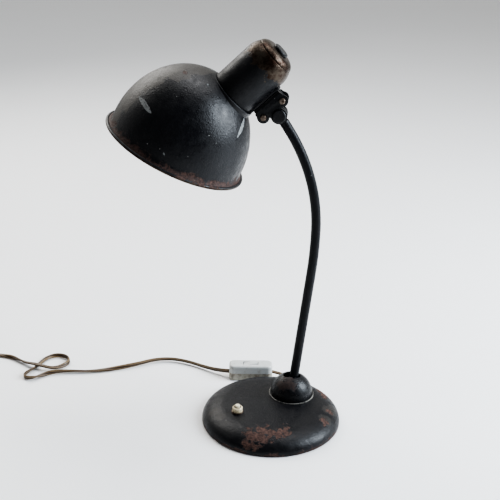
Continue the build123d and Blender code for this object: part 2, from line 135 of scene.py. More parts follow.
def vectorCalc(tree, operation, first, second=None, scale=None):
    node = nodeIn(tree, "ShaderNodeVectorMath", operation=operation)
    for socket, value in zip(node.inputs, (first, second)):
        if value is None:
            continue
        if isinstance(value, (tuple, Vector)):
            socket.default_value = tuple(value)
        else:
            wire(tree, value, socket)
    if scale is not None:
        wire(tree, scale, node.inputs["Scale"])
    return node


def objectPlace(tree):
    return nodeIn(tree, "ShaderNodeTexCoord").outputs["Object"]


# noise whose lumps are about size metres across
def noiseOf(tree, size, detail=4.0, roughness=0.55):
    noise = nodeIn(tree, "ShaderNodeTexNoise", Scale=1.0 / size, Detail=detail, Roughness=roughness)
    wire(tree, objectPlace(tree), noise.inputs["Vector"])
    return noise.outputs["Fac"]


# 0 below low, 1 above high
def between(tree, value, low, high):
    node = nodeIn(tree, "ShaderNodeMapRange", clamp=True)
    node.interpolation_type = "SMOOTHSTEP"
    node.inputs["From Min"].default_value = low
    node.inputs["From Max"].default_value = high
    wire(tree, value, node.inputs["Value"])
    return node.outputs["Result"]


def mixColour(tree, amount, first, second):
    node = nodeIn(tree, "ShaderNodeMix", data_type="RGBA")
    wire(tree, amount, node.inputs[0])
    for socket, value in ((node.inputs[6], first), (node.inputs[7], second)):
        if isinstance(value, tuple):
            socket.default_value = (*value, 1)
        else:
            wire(tree, value, socket)
    return node.outputs[2]


def mixValue(tree, amount, first, second):
    node = nodeIn(tree, "ShaderNodeMix", data_type="FLOAT")
    wire(tree, amount, node.inputs[0])
    for socket, value in ((node.inputs[2], first), (node.inputs[3], second)):
        if isinstance(value, (int, float)):
            socket.default_value = value
        else:
            wire(tree, value, socket)
    return node.outputs[0]


def newMaterial(name, **constants):
    material = bpy.data.materials.new(name)
    material.use_nodes = True
    tree = material.node_tree
    shader = tree.nodes["Principled BSDF"]
    for key, value in constants.items():
        shader.inputs[key].default_value = value
    return material, tree, shader


def bumpFrom(tree, shader, height, strength, depth):
    bump = nodeIn(tree, "ShaderNodeBump", Strength=strength, Distance=depth)
    wire(tree, height, bump.inputs["Height"])
    wire(tree, bump.outputs[0], shader.inputs["Normal"])


grains = {      # size of the lumps in metres, detail, roughness
    "cloud": (0.03, 8.0, 0.68),
    "fine": (0.0024, 6.0, 0.72),
    "dull": (0.007, 9.0, 0.72),
    "skin": (0.0016, 5.0, 0.6),
    "ripple": (0.008, 4.0, 0.6),
    "rust": (0.0026, 9.0, 0.82),
    "pits": (0.005, 10.0, 0.84),
    "steel": (0.010, 8.0, 0.75),
    "brokenLine": (0.0026, 6.0, 0.75),
    "unevenLine": (0.004, 5.0, 0.7),
    "metalSkin": (0.0008, 4.0, 0.6),
    "plasticSkin": (0.0012, 3.0, 0.5),
    "smallSkin": (0.001, 3.0, 0.5),
    "seatWear": (0.006, 7.0, 0.7),
    "collarAge": (0.003, 5.0, 0.7),
}


# ragged patches: each spot is x, y, z and radius in millimetres
def spotMask(tree, spots, ragged, grain):
    jitter = calc(tree, "MULTIPLY", calc(tree, "SUBTRACT", noiseOf(tree, grain, 6.0, 0.65), 0.5), ragged)
    total = None
    for x, y, z, radius in spots:
        away = vectorCalc(tree, "DISTANCE", objectPlace(tree), (x * mm, y * mm, z * mm)).outputs["Value"]
        inside = calc(tree, "SUBTRACT", 1.0, calc(tree, "DIVIDE", away, radius * mm))
        total = inside if total is None else calc(tree, "MAXIMUM", total, inside)
    return between(tree, calc(tree, "ADD", total, jitter), 0.0, 0.12)


# a scratch from start to end, width across at its middle, in millimetres
def scratchMask(tree, start, end, width):
    start, end = Vector(start) * mm, Vector(end) * mm
    run = end - start
    offset = vectorCalc(tree, "SUBTRACT", objectPlace(tree), start).outputs[0]
    along = vectorCalc(tree, "DOT_PRODUCT", offset, run / run.length_squared).outputs["Value"]
    along = calc(tree, "MULTIPLY", along, 1.0, clamp=True)
    nearest = vectorCalc(tree, "SCALE", run, scale=along).outputs[0]
    away = vectorCalc(tree, "DISTANCE", offset, nearest).outputs["Value"]
    fat = calc(tree, "MULTIPLY", calc(tree, "MULTIPLY", along, calc(tree, "SUBTRACT", 1.0, along)), 4.0)
    wobble = calc(tree, "MULTIPLY", noiseOf(tree, *grains["unevenLine"]), 0.9)
    reach = calc(tree, "MULTIPLY", calc(tree, "ADD", fat, 0.15), width * mm / 2)
    reach = calc(tree, "MULTIPLY", reach, calc(tree, "ADD", wobble, 0.6))
    return between(tree, calc(tree, "SUBTRACT", reach, away), 0.0, 0.0003)


# 1 at a plane, fading to 0 at depth metres from it, with a ragged edge
def planeBand(tree, point, normal, depth, grain, ragged):
    offset = vectorCalc(tree, "SUBTRACT", objectPlace(tree), point).outputs[0]
    height = vectorCalc(tree, "DOT_PRODUCT", offset, normal).outputs["Value"]
    rise = calc(tree, "SUBTRACT", 1.0, calc(tree, "DIVIDE", calc(tree, "ABSOLUTE", height), depth))
    jitter = calc(tree, "MULTIPLY", calc(tree, "SUBTRACT", noiseOf(tree, grain, 6.0, 0.7), 0.5), ragged)
    return calc(tree, "ADD", rise, jitter)


enamel = {
    "black": (0.0042, 0.0047, 0.0068),
    "dusty": (0.0140, 0.0136, 0.0145),
    "rust": (0.118, 0.066, 0.053),
    "rustDark": (0.022, 0.013, 0.011),
    "steelWorn": (0.088, 0.071, 0.056),
    "steelBrown": (0.030, 0.016, 0.011),
    "speck": (0.50, 0.49, 0.46),
    # pale dull tone: faint real spots on the base, and on the shade partly dust and partly a painted
    # reflection
    "bloomAndSheen": (0.062, 0.056, 0.049),
    "scratch": (0.22, 0.23, 0.23),
    "roughness": (0.27, 0.50),
    "grimeAndShade": (0.44, 0.66),       # where the dust on it starts and is full
    "uneven": (0.32, 0.68),      # the same for its dull patches
    "pitting": (0.60, 0.66),
    "specks": ((150.0, 0.90, 0.10), (52.0, 0.94, 0.05)),      # how fine, share left bare, radius
    "bump": (0.75, 0.0003),      # strength, depth in metres
    "rustTone": (0.36, 0.62),      # where the paler tone starts and is full
    "steelTone": (0.40, 0.62),
    "brokenLine": (0.36, 0.50),
    "metallic": 0.9,
}

patches = {      # how ragged, size of the lumps on its edge in metres
    "bloomAndSheen": (1.6, 0.012),
    "rust": (5.6, 0.0060),
    "steel": (2.6, 0.011),
}

layers = {      # roughness, and how far it stands out
    "bloomAndSheen": (0.5, 0.1),
    "speck": (0.6, -0.4),
    "pitting": (0.75, -0.5),
    "rust": (0.78, -1.2),
    "rim": (0.74, -0.8),
    "steel": (0.33, -0.7),
    "scratch": (0.55, -0.5),
}


# old black stove enamel, with rust, bare steel, scratches and specks where they are given
def enamelMaterial(name, rustSpots=(), steelSpots=(), scratches=(), rimBand=None, steelBand=None, dust=0.5,
                   gloss=0.0, rustAmount=1.0, shine=0.40, bloomAndSheenSpots=(), bloomAndSheenAmount=0.75):
    material, tree, shader = newMaterial(name, **{"Specular IOR Level": shine})
    cloud = noiseOf(tree, *grains["cloud"])
    fine = noiseOf(tree, *grains["fine"])
    clouds = calc(tree, "ADD", calc(tree, "MULTIPLY", cloud, 0.6), calc(tree, "MULTIPLY", fine, 0.4))
    grimeAndShade = between(tree, clouds, *enamel["grimeAndShade"])
    colour = mixColour(tree, calc(tree, "MULTIPLY", grimeAndShade, dust), enamel["black"], enamel["dusty"])
    low, high = enamel["roughness"]
    uneven = between(tree, noiseOf(tree, *grains["dull"]), *enamel["uneven"])
    roughness = mixValue(tree, uneven, low - gloss, high - gloss)
    height = calc(tree, "MULTIPLY", noiseOf(tree, *grains["skin"]), 1.3)
    height = calc(tree, "ADD", height, calc(tree, "MULTIPLY", noiseOf(tree, *grains["ripple"]), 1.2))
    metal = None
    rustTone = between(tree, noiseOf(tree, *grains["rust"]), *enamel["rustTone"])
    rustColour = mixColour(tree, rustTone, enamel["rustDark"], enamel["rust"])

    def lay(mask, over, rough, lift):
        nonlocal colour, roughness, height
        colour = mixColour(tree, mask, colour, over)
        roughness = mixValue(tree, mask, roughness, rough)
        height = calc(tree, "ADD", height, calc(tree, "MULTIPLY", mask, lift))

    # pale dull patches; on the shade these are partly dust and partly a painted reflection of the bright
    # wall
    if bloomAndSheenSpots:
        bloomAndSheenMask = spotMask(tree, bloomAndSheenSpots, *patches["bloomAndSheen"])
        lay(calc(tree, "MULTIPLY", bloomAndSheenMask, bloomAndSheenAmount), enamel["bloomAndSheen"], *layers["bloomAndSheen"])
    for scale, share, radius in enamel["specks"]:
        speckle = nodeIn(tree, "ShaderNodeTexVoronoi", Scale=scale, Randomness=1.0)
        wire(tree, objectPlace(tree), speckle.inputs["Vector"])
        tone = nodeIn(tree, "ShaderNodeSeparateColor")
        wire(tree, speckle.outputs["Color"], tone.inputs[0])
        rare = between(tree, tone.outputs[0], share, share + 0.004)
        dot = between(tree, calc(tree, "SUBTRACT", radius, speckle.outputs["Distance"]), 0.0, 0.02)
        speck = calc(tree, "MULTIPLY", calc(tree, "MULTIPLY", rare, dot), tone.outputs[1])
        lay(speck, enamel["speck"], *layers["speck"])
    pitting = between(tree, noiseOf(tree, *grains["pits"]), *enamel["pitting"])
    lay(calc(tree, "MULTIPLY", pitting, 0.55 * dust), rustColour, *layers["pitting"])
    if rustSpots:
        rusted = spotMask(tree, rustSpots, *patches["rust"])
        lay(calc(tree, "MULTIPLY", rusted, rustAmount), rustColour, *layers["rust"])
    if rimBand:
        edge = between(tree, planeBand(tree, *rimBand), 0.0, 0.5)
        lay(calc(tree, "MULTIPLY", edge, 0.8), rustColour, *layers["rim"])
    if steelBand or steelSpots:
        steelTone = between(tree, noiseOf(tree, *grains["steel"]), *enamel["steelTone"])
        steel = mixColour(tree, steelTone, enamel["steelBrown"], enamel["steelWorn"])
        mask = None
        if steelBand:
            mask = between(tree, planeBand(tree, *steelBand), 0.0, 0.10)
        if steelSpots:
            spots = spotMask(tree, steelSpots, *patches["steel"])
            mask = spots if mask is None else calc(tree, "MAXIMUM", mask, spots)
        metal = mask
        lay(mask, steel, *layers["steel"])
    for start, end, width in scratches:
        broken = between(tree, noiseOf(tree, *grains["brokenLine"]), *enamel["brokenLine"])
        line = calc(tree, "MULTIPLY", scratchMask(tree, start, end, width), broken)
        lay(line, enamel["scratch"], *layers["scratch"])
    wire(tree, colour, shader.inputs["Base Color"])
    wire(tree, roughness, shader.inputs["Roughness"])
    if metal is not None:
        wire(tree, calc(tree, "MULTIPLY", metal, enamel["metallic"]), shader.inputs["Metallic"])
    bumpFrom(tree, shader, height, *enamel["bump"])
    return material


def metalMaterial(name, colour, tarnish, roughness=0.35, grain=0.004, amount=0.6):
    material, tree, shader = newMaterial(name, Metallic=1.0)
    patch = between(tree, noiseOf(tree, grain, 7.0, 0.65), 0.42, 0.68)
    tone = mixColour(tree, calc(tree, "MULTIPLY", patch, amount), colour, tarnish)
    wire(tree, tone, shader.inputs["Base Color"])
    wire(tree, mixValue(tree, patch, roughness, roughness + 0.3), shader.inputs["Roughness"])
    bumpFrom(tree, shader, noiseOf(tree, *grains["metalSkin"]), 0.2, 0.0002)
    return material


def plasticMaterial(name, colour, grimeAndShade, roughness=0.3, grain=0.006, amount=0.5, level=0.5,
                    low=0.5, high=0.75):
    material, tree, shader = newMaterial(name, **{"Specular IOR Level": level})
    patch = between(tree, noiseOf(tree, grain, 6.0, 0.65), low, high)
    tone = mixColour(tree, calc(tree, "MULTIPLY", patch, amount), colour, grimeAndShade)
    wire(tree, tone, shader.inputs["Base Color"])
    wire(tree, mixValue(tree, patch, roughness, roughness + 0.25), shader.inputs["Roughness"])
    bumpFrom(tree, shader, noiseOf(tree, *grains["plasticSkin"]), 0.12, 0.0002)
    return material


def newPiece(name, mesh, body, slotName, *replaced):
    piece = bpy.data.objects.new(name, mesh)
    bpy.context.scene.collection.objects.link(piece)
    if replaced:
        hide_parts(*replaced)
    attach(piece, body)
    return piece


# the mesh with its modifiers worked in
def settled(mesh, name, modifiers):
    holder = bpy.data.objects.new(name + "Draft", mesh)
    bpy.context.scene.collection.objects.link(holder)
    modifiers(holder)
    bpy.context.view_layer.update()
    done = bpy.data.meshes.new_from_object(holder.evaluated_get(bpy.context.evaluated_depsgraph_get()))
    bpy.data.objects.remove(holder)
    done.name = name
    return done


def smooth(mesh, angle=32.0):
    mesh.polygons.foreach_set("use_smooth", [True] * len(mesh.polygons))
    mesh.set_sharp_from_angle(angle=radians(angle))


touching = 1e-6      # metres, within which two corners are one

easing = {
    "flat": 0.6,        # degrees, below which neighbouring faces are joined
    "corner": 38,       # degrees, above which an edge is eased
    "segments": 2,
}


# a CAD node's own shape, with its corners eased and a finish on it
def refined(node, material, body, edge):
    source = frame["nodes"][node]
    mesh = source.data.copy()
    work = bmesh.new()
    work.from_mesh(mesh)
    bmesh.ops.remove_doubles(work, verts=work.verts, dist=touching)
    bmesh.ops.dissolve_limit(work, angle_limit=radians(easing["flat"]), verts=work.verts,
                          edges=work.edges)
    work.to_mesh(mesh)
    work.free()

    def ease(holder):
        bevel = holder.modifiers.new("ease", "BEVEL")
        bevel.width, bevel.segments = edge * mm, easing["segments"]
        bevel.limit_method, bevel.angle_limit = "ANGLE", radians(easing["corner"])
        bevel.use_clamp_overlap = True

    done = settled(mesh, node + "Piece", ease) if edge else mesh
    smooth(done)
    done.materials.clear()
    done.materials.append(material)
    slotName = next(s["material_slot"] for s in frame["record"]["subparts"] if s["node"] == node)
    return newPiece(node + "Piece", done, body, slotName, node)


spinSteps = 192


# a surface turned about Z from (radius, height) points in millimetres, then placed by turn
def spunMesh(name, outline, turn=Matrix.Identity(4)):
    work = bmesh.new()
    corners = [work.verts.new((r * mm, 0, z * mm)) for r, z in outline]
    edges = [work.edges.new(pair) for pair in zip(corners, corners[1:])]
    bmesh.ops.spin(work, geom=corners + edges, cent=(0, 0, 0), axis=(0, 0, 1), angle=tau, steps=spinSteps,
                   use_merge=True)
    bmesh.ops.remove_doubles(work, verts=work.verts, dist=touching)
    bmesh.ops.recalc_face_normals(work, faces=work.faces)
    bmesh.ops.transform(work, matrix=turn, verts=work.verts)
    mesh = bpy.data.meshes.new(name)
    work.to_mesh(mesh)
    work.free()
    return mesh


# a quarter of an oval, from its foot up to its top
def ovalPoints(wide, high, foot, count, inner=0.0):
    angles = [radians(90) * i / count for i in range(count + 1)]
    return [(inner + wide * cos(angle), foot + high * sin(angle)) for angle in angles]


cord = {
    "width": 5.4,
    "thick": 2.7,
    "exit": (27.55, 75.03, 5.4),
    "switchEnds": ((-4.6, 92.0, 8.2), (-56.4, 87.0, 8.2)),
    "clearance": 0.5,          # extra height, so that no edge dips into the table
    "waist": 0.70,             # how thick the groove leaves it, against its cores
    "fullness": 1.12,
    "sectionPoints": 28,
    "stripe": (0.52, 0.21),    # middle and half width of a dark stripe, as shares of half the lead
}

coil = {
    "middle": (-389.5, 86.5),
    "radius": 29.75,
    "turns": 6,
    "first": 46.0,             # degrees where it starts and ends, besides the whole turns
    "last": 203.0,
    "pointsPerTurn": 14,
    "sideStep": 3.1,           # two turns lie side by side
    "uneven": 0.5,
    "bottom": 1.95,
    "layer": 2.4,
    "twist": 900,
}

leadRoute = [(24.6, 82.3, 4.3, 40), (17.5, 88.0, 4.2, 20), (8.0, 91.2, 6.0, 0)]
runRoute = [        # across, back, how far the underside is lifted, twist in degrees
    (-72, 92.5, 2.2, 80), (-91, 103, 0.4, 72), (-110, 112, 0.8, 66), (-131, 117, 0.8, 66),
    (-152, 113, 0.5, 72), (-170, 101, 0, 85), (-188, 90.5, 0, 115), (-208, 82, 0, 165),
    (-229, 76.5, 0, 205), (-251, 73.5, 0, 235), (-269, 69, 0, 275), (-281, 60.5, 0, 340),
    (-289.5, 52.5, 0, 420), (-296.5, 50.2, 0, 445), (-301.5, 54.5, 0, 450), (-301.3, 61.5, 0, 455),
    (-297, 71, 0, 490), (-292.8, 81.5, 0, 530), (-290.8, 93.5, 0, 540), (-286, 105, 0, 560),
    (-275, 111, 0, 600), (-262, 107.5, 0, 625), (-256, 97, 0, 640), (-260.5, 86, 0, 680),
    (-271.5, 77.5, 0.8, 715), (-284.5, 75.8, 4.4, 720), (-297, 80, 4.4, 720), (-308, 87, 0.8, 730),
    (-321, 95, 0, 780), (-336, 101, 0, 870), (-352, 104.5, 0, 900), (-368, 107, 0.2, 900),
]
tailRoute = [(-418.6, 70.0, 4.4, 900), (-419.3, 60.0, 4.0, 900), (-418.0, 46.5, 5.0, 900)]


# height of the flat cord's middle when it lies on the table, turned by twist
def restHeight(lift, twist):
    thin, wide = cord["thick"] / 2, cord["width"] / 2
    return lift + thin + cord["clearance"] + (wide - thin) * abs(sin(radians(twist)))


# the put-away turns, two side by side, then up a layer
def coilRoute():
    points = []
    sweep = 360 * coil["turns"] + coil["last"] - coil["first"]
    count = int(coil["pointsPerTurn"] * (coil["turns"] + (coil["last"] - coil["first"]) / 360.0))
    for i in range(1, count):
        angle = radians(coil["first"] + sweep * (i / count))
        turn = i / coil["pointsPerTurn"]
        radius = coil["radius"] + (cos(pi * turn) * coil["sideStep"] + coil["uneven"] * sin(2.3 * i))
        height = coil["bottom"] + coil["layer"] * turn / 2
        across = coil["middle"][0] + radius * cos(angle)
        back = coil["middle"][1] + radius * sin(angle)
        points.append((across, back, height, coil["twist"]))
    return points


def cordCurve(name, points, bevel=None):
    data = bpy.data.curves.new(name, "CURVE")
    data.dimensions = "3D"
    data.twist_mode = "Z_UP"
    spline = data.splines.new("NURBS")
    spline.points.add(len(points) - 1)
    for point, (x, y, z, twist) in zip(spline.points, points):
        point.co = (x * mm, y * mm, z * mm, 1)
        point.tilt = radians(twist)
    spline.order_u = 3
    spline.use_endpoint_u = True
    spline.resolution_u = 8
    if bevel:
        data.bevel_mode = "OBJECT"
        data.bevel_object = bevel
        data.use_fill_caps = True
    holder = bpy.data.objects.new(name, data)
    bpy.context.scene.collection.objects.link(holder)
    bpy.context.view_layer.update()
    mesh = bpy.data.meshes.new_from_object(holder.evaluated_get(bpy.context.evaluated_depsgraph_get()))
    bpy.data.objects.remove(holder)
    return mesh


# the flat lead's section: two round cores with a groove between
def twinSection():
    data = bpy.data.curves.new("twinSection", "CURVE")
    data.dimensions = "2D"
    spline = data.splines.new("POLY")
    spline.points.add(cord["sectionPoints"] - 1)
    for i, point in enumerate(spline.points):
        angle = tau * i / cord["sectionPoints"]
        waist = cord["waist"] + (1 - cord["waist"]) * abs(cos(angle)) ** 0.7
        across = cord["width"] / 2 * cos(angle)
        high = cord["thick"] / 2 * sin(angle) * waist * cord["fullness"]
        point.co = (across * mm, high * mm, 0, 1)
    spline.use_cyclic_u = True
    section = bpy.data.objects.new("twinSection", data)
    bpy.context.scene.collection.objects.link(section)
    return section


# which of the section's faces lie in the two dark stripes
def stripeFaces():
    middle, half = cord["stripe"]
    count = cord["sectionPoints"]
    return [i for i in range(count) if abs(abs(cos(tau * (i + 0.5) / count)) - middle) < half]


def makeCord(name, points, replaced, finishes):
    section = twinSection()
    mesh = cordCurve(name, points, section)
    bpy.data.objects.remove(section)
    line = [v.co.copy() for v in cordCurve(name + "Line", points).vertices]
    mesh.name = name
    mesh.materials.clear()
    for finish in finishes:
        mesh.materials.append(finish)
    stripes = stripeFaces()
    for index, face in enumerate(mesh.polygons):
        face.use_smooth = True
        if len(face.vertices) == 4 and index % cord["sectionPoints"] in stripes:
            face.material_index = 1
    piece = newPiece(name, mesh, "base", "cord_pvc", *replaced)


def cordFinishes():
    skin = plasticMaterial("leadSkin", (0.175, 0.120, 0.064), (0.060, 0.038, 0.022), 0.34, 0.012, 0.7)
    core = plasticMaterial("leadCore", (0.034, 0.018, 0.010), (0.085, 0.047, 0.024), 0.36, 0.008, 0.8)
    return skin, core


def makeCords():
    right, left = cord["switchEnds"]
    lead = [(*cord["exit"], 60)] + leadRoute + [(*right, 0)]
    finishes = cordFinishes()
    makeCord("switchLead", lead, ["cord_lead"], finishes)
    run = [(*left, 85)] + [(x, y, restHeight(lift, twist), twist) for x, y, lift, twist in runRoute]
    run += coilRoute() + tailRoute
    mainsNodes = ["cord_run", "cord_coil", "cord_tail"]
    makeCord("mainsLead", run, mainsNodes, finishes)


baseCover = {
    "radius": 77.5,
    "shoulder": 27.5,
    "rise": 17.0,
    "rim": 2.0,
    "crown": 1.5,
    "sheet": 1.2,
    "lip": ((1.0, 0.8), (0.2, 0.85), (0.0, 1.1)),      # inwards, up
    "shoulderSteps": 18,
    "crownSteps": 10,
    "rimRust": (0.0042, 0.010, 5.5),      # metres up from the foot, grain, how ragged
    "rust": [(-12, -63, 16.4, 9), (-7, -57, 18, 9), (-17, -60, 16.5, 7), (-20, -66, 13.5, 6),
             (-6, -66, 15, 7), (5, -59, 17.8, 8), (17, -54, 18.4, 8), (11, -62, 16.6, 5),
             (-17.7, -71, 11, 7), (66, -5, 15.8, 4.5), (61, -24, 16, 5), (62, 32, 15.6, 7),
             (55, 44, 15.6, 6)],      # place and radius
    "bloomAndSheen": [(66, -3, 16, 9), (62, -22, 16, 9), (70, 8, 12, 7), (-62, -20, 16, 8), (-54, -30, 17, 6)],
}


def makeBaseCover():
    top = baseCover["radius"] - baseCover["shoulder"]
    shoulderTop = baseCover["rim"] + baseCover["rise"]
    outline = [(baseCover["radius"] - inwards, up) for inwards, up in baseCover["lip"]]
    outline += ovalPoints(baseCover["shoulder"], baseCover["rise"], baseCover["rim"],
                          baseCover["shoulderSteps"], inner=top)
    for i in range(1, baseCover["crownSteps"] + 1):
        reach = top * (1 - i / baseCover["crownSteps"])
        outline.append((reach, shoulderTop + baseCover["crown"] * (1 - (reach / top) ** 2)))
    mesh = spunMesh("baseCover", outline)

    def thicken(holder):
        solid = holder.modifiers.new("sheet", "SOLIDIFY")
        solid.thickness, solid.offset = baseCover["sheet"] * mm, -1
        solid.use_even_offset = True

    mesh = settled(mesh, "baseCover", thicken)
    smooth(mesh, 40)
    rim = (Vector((0, 0, 0)), Vector((0, 0, 1)), *baseCover["rimRust"])
    mesh.materials.append(enamelMaterial("baseEnamel", rustSpots=baseCover["rust"], rimBand=rim, dust=0.75,
                                         shine=0.34, bloomAndSheenSpots=baseCover["bloomAndSheen"], bloomAndSheenAmount=0.35))
    newPiece("baseCover", mesh, "base", "black_enamel", "base_cover")
    print("base cover spun")


shade = {
    "centre": (-110.2, 24.7, 305.7),
    "tilt": 25.3,
    "radius": 73.0,
    "height": 83.5,
    "foot": 8.0,
    "bead": 1.8,
    "mouth": 78.1,
    "sheet": 0.9,
    "neck": (-49.2, 24.7, 367.3),
    "neckTilt": 46.2,
    "neckRadius": 26.6,
    "flare": ((1.5, 2.6), (0.5, 4.9), (0.1, 6.6)),      # outwards, up
    "bowlSteps": 40,
    "beadSteps": 16,
    "cutter": 0.07,      # metres long
    "rimRust": (0.0075, 0.010, 4.5),      # metres from the mouth, grain, how ragged
    "edgeWear": (0.0022, 0.012, 0.9),
    "edgeWearAt": 0.0016,
    "scratches": [((-140.1, -11.7, 369.5), (-124.0, -33.5, 358.0), 5.0),
                  ((-36.9, 11.4, 346.4), (-41.8, -10.8, 330.8), 4.8),
                  ((-73.6, -3.0, 382.2), (-71.0, -5.0, 380.6), 2.0),
                  ((-110.5, -47.5, 323.5), (-109.2, -48.0, 320.8), 1.8)],      # start, end, width
    # pale patches on the top-left: partly dusty dull enamel, partly a painted reflection of the bright wall
    "bloomAndSheen": [(-150, 2, 366, 20), (-128, 8, 382, 22), (-104, 12, 391, 20), (-84, 16, 393, 15),
              (-168, -4, 348, 12)],      # place and radius
    "rust": [(-96.5, 5, 391.5, 3), (-62, -33, 284, 6), (-75, -41, 289, 7), (-92, -48, 299, 6)],
}


def leaning(place, tilt):
    return Matrix.Translation(Vector(place) * mm) @ Matrix.Rotation(radians(tilt), 4, "Y")


def shadeTurn():
    return leaning(shade["centre"], shade["tilt"])


def neckTurn():
    return leaning(shade["neck"], shade["neckTilt"])


def makeShade():
    beadAt = shade["mouth"] - shade["bead"]
    outline = [(beadAt, 0.4)]
    outline += [(shade["radius"] + outwards, up) for outwards, up in shade["flare"]]
    outline += ovalPoints(shade["radius"], shade["height"], shade["foot"], shade["bowlSteps"])
    outline[-1] = (0, shade["foot"] + shade["height"])
    mesh = spunMesh("shadeBowl", outline, shadeTurn())
    cutter = bmesh.new()
    bmesh.ops.create_cone(cutter, cap_ends=True, segments=96, radius1=shade["neckRadius"] * mm,
                          radius2=shade["neckRadius"] * mm, depth=shade["cutter"], matrix=neckTurn())
    cutterMesh = bpy.data.meshes.new("neckCutter")
    cutter.to_mesh(cutterMesh)
    cutter.free()
    cutterPiece = bpy.data.objects.new("neckCutter", cutterMesh)
    bpy.context.scene.collection.objects.link(cutterPiece)

    def cut(holder):
        solid = holder.modifiers.new("sheet", "SOLIDIFY")
        solid.thickness, solid.offset = shade["sheet"] * mm, -1
        solid.material_offset = 1
        hole = holder.modifiers.new("neck", "BOOLEAN")
        hole.operation, hole.solver, hole.object = "DIFFERENCE", "EXACT", cutterPiece

    axis = shadeTurn().to_3x3() @ Vector((0, 0, 1))
    rim = (Vector(shade["centre"]) * mm, axis, *shade["rimRust"])
    # its pale top-left patches are partly dust and partly a painted reflection of the bright wall
    outside = enamelMaterial("shadeEnamel", rustSpots=shade["rust"], rimBand=rim, dust=0.38, gloss=0.02,
                             scratches=shade["scratches"], bloomAndSheenSpots=shade["bloomAndSheen"], rustAmount=0.75)
    inside = plasticMaterial("shadeInside", (0.62, 0.60, 0.54), (0.35, 0.28, 0.2), 0.4, 0.02, 0.5)
    mesh.materials.append(outside)
    mesh.materials.append(inside)
    mesh = settled(mesh, "shadeBowl", cut)
    bpy.data.objects.remove(cutterPiece)
    smooth(mesh, 40)
    newPiece("shadeBowl", mesh, "head", "black_enamel", "shade")
    angles = [tau * i / shade["beadSteps"] for i in range(shade["beadSteps"])]
    bead = [(beadAt + shade["bead"] * cos(angle), shade["bead"] * sin(angle)) for angle in angles]
    roll = spunMesh("shadeRim", bead + bead[:1], shadeTurn())
    smooth(roll, 60)
    wornAt = Vector(shade["centre"]) * mm - axis * shade["edgeWearAt"]
    edgeWear = (wornAt, axis, *shade["edgeWear"])
    worn = enamelMaterial("rimEnamel", steelBand=edgeWear, rustSpots=shade["rust"], dust=1.0)
    roll.materials.append(worn)
    newPiece("shadeRim", roll, "head", "black_enamel")
    print("shade and rim spun")


seat = {
    "middle": (21.5, 24.7),
    "worn": (24.7, 25.1),      # how far out the wear starts and is full
    "black": (0.006, 0.006, 0.007),
    "bare": (0.26, 0.25, 0.225),
    "roughness": 0.45,
}


# how far each point is from an upright line through middle, and where it is from that line
def fromUpright(tree, middle):
    offset = vectorCalc(tree, "SUBTRACT", objectPlace(tree), (middle[0] * mm, middle[1] * mm, 0)).outputs[0]
    flat = vectorCalc(tree, "MULTIPLY", offset, (1, 1, 0)).outputs[0]
    return vectorCalc(tree, "LENGTH", flat).outputs["Value"], offset


# black enamel worn to a pale line along the seat's outer edge
def seatMaterial():
    material, tree, shader = newMaterial("seatEnamel", Roughness=seat["roughness"])
    away = fromUpright(tree, seat["middle"])[0]
    start, full = seat["worn"]
    edge = between(tree, away, start * mm, full * mm)
    ragged = between(tree, noiseOf(tree, *grains["seatWear"]), 0.34, 0.56)
    tone = mixColour(tree, calc(tree, "MULTIPLY", edge, ragged), seat["black"], seat["bare"])
    wire(tree, tone, shader.inputs["Base Color"])
    bumpFrom(tree, shader, noiseOf(tree, *grains["smallSkin"]), 0.2, 0.0002)
    return material


collar = {
    "middle": (-36, -21.7),
    "groove": (3.7, 4.2),      # how far out the painted shade in the groove round the button thins and ends
    "foot": (20.3, 21.6),      # how far up the darkening at the foot thins and ends
    "cream": (0.66, 0.57, 0.40),
    "aged": (0.36, 0.28, 0.17),
    # dark colour of the painted shade in the groove and of the darker foot
    "grimeAndShade": (0.05, 0.032, 0.018),
    "roughness": 0.32,
}


# cream plastic, with painted shade in the groove round the button, and darker at the foot
def collarMaterial():
    material, tree, shader = newMaterial("creamCollar", Roughness=collar["roughness"])
    away, offset = fromUpright(tree, collar["middle"])
    near, far = collar["groove"]
    # painted shade in the groove round the button
    groove = calc(tree, "SUBTRACT", 1.0, between(tree, away, near * mm, far * mm))
    height = nodeIn(tree, "ShaderNodeSeparateXYZ")
    wire(tree, offset, height.inputs[0])
    low, high = collar["foot"]
    foot = calc(tree, "SUBTRACT", 1.0, between(tree, height.outputs["Z"], low * mm, high * mm))
    mask = calc(tree, "MAXIMUM", groove, calc(tree, "MULTIPLY", foot, 0.8))
    patch = between(tree, noiseOf(tree, *grains["collarAge"]), 0.5, 0.75)
    cream = mixColour(tree, patch, collar["cream"], collar["aged"])
    wire(tree, mixColour(tree, mask, cream, collar["grimeAndShade"]), shader.inputs["Base Color"])
    bumpFrom(tree, shader, noiseOf(tree, *grains["smallSkin"]), 0.12, 0.0002)
    return material


bulb = {
    "glass": ((0.86, 0.86, 0.84), (0.92, 0.92, 0.9)),
    "cloud": 0.02,
    "roughness": 0.35,
    "clear": 0.35,
}


def bulbMaterial():
    material, tree, shader = newMaterial("bulbFrosted", Roughness=bulb["roughness"])
    wire(tree, mixColour(tree, noiseOf(tree, bulb["cloud"]), *bulb["glass"]), shader.inputs["Base Color"])
    shader.inputs["Transmission Weight"].default_value = bulb["clear"]
    return material


headWear = {      # bare steel: how far along the neck's axis, how wide, grain, how ragged
    "housingEnamel": (0.068, 0.0275, 0.020, 2.4),
    "capEnamel": (0.064, 0.020, 0.010, 1.3),
}

